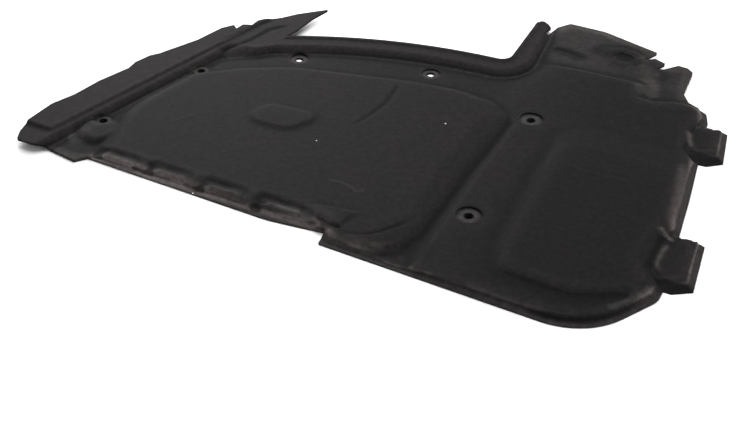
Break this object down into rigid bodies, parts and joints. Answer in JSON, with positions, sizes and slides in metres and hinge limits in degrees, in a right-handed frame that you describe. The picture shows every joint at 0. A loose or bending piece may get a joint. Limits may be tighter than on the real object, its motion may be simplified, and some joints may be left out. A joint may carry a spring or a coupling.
{
  "type": "hood insulation pad",
  "caption": "Moulded felt pad for the inside of a vehicle's hood, with two raised pillows, a raised flange, a curved lip, clip holes and edge tabs.",
  "frame": {"origin": "under the middle of the pad's box, on the plane it rests on", "axes": "+X along the straight near edge towards the two tabs, +Y towards the curved far edge, +Z out of the side that faces the engine"},
  "size_m": [1.0886, 0.8379, 0.022],
  "materials": {
    "felt": "matt pressed fibre felt"
  },
  "bodies": {
    "root": {"insulation_pad": "felt"}
  },
  "joints": []
}
